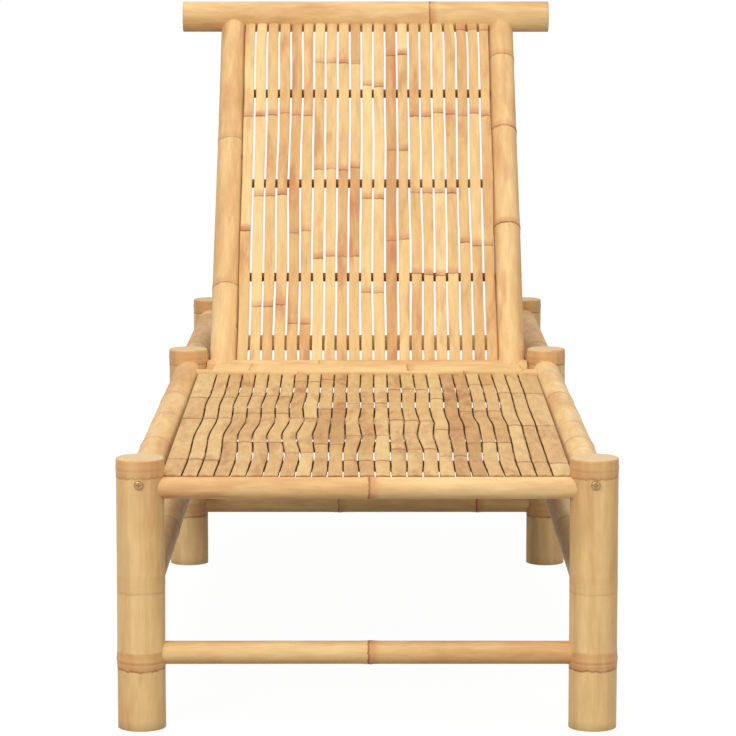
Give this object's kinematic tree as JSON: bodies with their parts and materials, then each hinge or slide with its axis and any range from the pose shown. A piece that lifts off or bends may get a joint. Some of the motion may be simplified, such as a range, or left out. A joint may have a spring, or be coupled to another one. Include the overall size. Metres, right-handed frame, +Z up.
{
  "type": "bamboo sun lounger",
  "caption": "Low bamboo lounger on round posts, with a slatted seat and a hinged slatted backrest held by a prop frame on notched racks.",
  "frame": {"origin": "on the floor, midway between the foot end and the head end, on the middle plane", "axes": "+Z up, +Y from the foot end towards the head end, +X to the right seen from the foot end"},
  "size_m": [0.6032, 1.9092, 0.8408],
  "materials": {
    "post_bamboo": "satin bamboo culm, muted tan",
    "pole_bamboo": "satin bamboo culm, honey",
    "split_bamboo": "satin split bamboo, honey",
    "rack_wood": "satin hardwood",
    "steel": "zinc-plated"
  },
  "bodies": {
    "frame": {"front_post_left": "post_bamboo", "middle_post_left": "post_bamboo", "rear_post_left": "post_bamboo", "side_rail_left": "pole_bamboo", "rear_side_rail_left": "pole_bamboo", "side_stretcher_left": "pole_bamboo", "rear_side_stretcher_left": "pole_bamboo", "prop_rack_left": "rack_wood", "front_post_right": "post_bamboo", "middle_post_right": "post_bamboo", "rear_post_right": "post_bamboo", "side_rail_right": "pole_bamboo", "rear_side_rail_right": "pole_bamboo", "side_stretcher_right": "pole_bamboo", "rear_side_stretcher_right": "pole_bamboo", "prop_rack_right": "rack_wood", "seat_front_rail": "pole_bamboo", "seat_rear_rail": "pole_bamboo", "front_stretcher": "pole_bamboo", "middle_stretcher": "pole_bamboo", "rear_stretcher": "pole_bamboo", "front_bolts": "steel", "rear_bolts": "steel", "seat_slats": "split_bamboo", "seat_rods": "pole_bamboo", "seat_edge_strip": "split_bamboo", "seat_end_lath": "split_bamboo"},
    "backrest": {"pivot_bar": "pole_bamboo", "stile_left": "pole_bamboo", "stile_right": "pole_bamboo", "top_bar": "pole_bamboo", "backrest_slats": "split_bamboo", "backrest_rods": "pole_bamboo", "prop_pins": "steel"},
    "prop": {"prop_leg_left": "split_bamboo", "prop_leg_right": "split_bamboo", "prop_bar": "pole_bamboo"}
  },
  "joints": [
    {"name": "backrest_recline", "type": "hinge", "parent": "frame", "child": "backrest", "pos_m": [0, 0.18775, 0.292], "axis": [1, 0, 0], "range_deg": [-42.1, 18]},
    {"name": "prop_swing", "type": "hinge", "parent": "backrest", "child": "prop", "pos_m": [0, 0.38212, 0.50044], "axis": [1, 0, 0], "range_deg": [-40, 90]}
  ],
  "couplings": [
    {"joint": "prop_swing", "follows": "backrest_recline", "ratio": -2}
  ]
}
